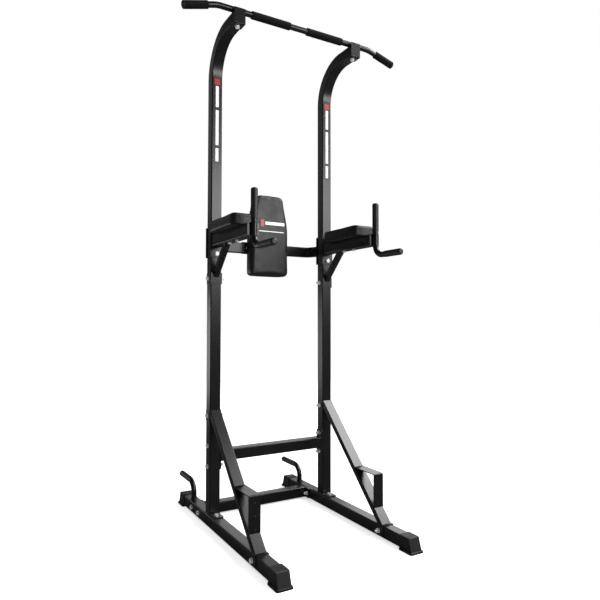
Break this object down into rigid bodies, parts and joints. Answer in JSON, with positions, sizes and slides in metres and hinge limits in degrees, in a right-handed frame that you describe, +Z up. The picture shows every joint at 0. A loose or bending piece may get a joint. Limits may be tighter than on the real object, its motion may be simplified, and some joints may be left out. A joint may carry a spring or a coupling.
{
  "type": "power tower",
  "caption": "Free-standing pull-up and dip station: tube side frames on floor rails, bent pull-up bar, padded dip arms with handles, backrest, step plates and push-up handles.",
  "frame": {"origin": "on the floor, under the middle of the whole object's footprint", "axes": "+Z up, +X to the right seen from the front, front towards -Y where the user stands"},
  "size_m": [1.073, 1.112, 2.234],
  "materials": {
    "frame_paint": "satin black powder coat",
    "zinc": "bright zinc plating",
    "rubber": "moulded, matte",
    "foam": "closed-cell foam sleeve, matte",
    "vinyl": "artificial leather, low sheen",
    "plywood": "black-stained plywood"
  },
  "bodies": {
    "root": {"arm_plate_bolts": "zinc", "arm_strut_left": "frame_paint", "arm_strut_right": "frame_paint", "armrest_board_left": "plywood", "armrest_board_right": "plywood", "armrest_bolts": "zinc", "armrest_pad_left": "vinyl", "armrest_pad_right": "vinyl", "backrest_bar": "frame_paint", "backrest_board": "plywood", "backrest_bolts": "zinc", "backrest_channel": "frame_paint", "backrest_pad": "vinyl", "bar_bolts": "zinc", "bar_bracket_left": "frame_paint", "bar_bracket_right": "frame_paint", "base_rail_left": "frame_paint", "base_rail_right": "frame_paint", "board_inserts": "zinc", "bracket_bolts": "zinc", "cross_tube_bolts": "zinc", "dip_arm_left": "frame_paint", "dip_arm_right": "frame_paint", "dip_grip_left": "rubber", "dip_grip_right": "rubber", "dip_handle_left": "frame_paint", "dip_handle_right": "frame_paint", "foot_screws": "zinc", "front_brace_left": "frame_paint", "front_brace_right": "frame_paint", "inner_bar_grip_left": "foam", "inner_bar_grip_right": "foam", "lower_upright_left": "frame_paint", "lower_upright_right": "frame_paint", "m10_nuts": "zinc", "m10_washers": "zinc", "m8_washers": "zinc", "mid_crossbeam": "frame_paint", "outer_bar_grip_left": "foam", "outer_bar_grip_right": "foam", "pullup_bar": "frame_paint", "pullup_bar_cap_left": "rubber", "pullup_bar_cap_right": "rubber", "pushup_grip_left": "rubber", "pushup_grip_right": "rubber", "pushup_handle_left": "frame_paint", "pushup_handle_right": "frame_paint", "rail_boot_front_left": "rubber", "rail_boot_front_right": "rubber", "rail_boot_rear_left": "rubber", "rail_boot_rear_right": "rubber", "rear_cross_tube": "frame_paint", "splice_sleeve_left": "frame_paint", "splice_sleeve_right": "frame_paint", "step_plate_left": "frame_paint", "step_plate_right": "frame_paint", "upper_upright_left": "frame_paint", "upper_upright_right": "frame_paint", "upright_grip_left": "rubber", "upright_grip_right": "rubber"}
  },
  "joints": []
}
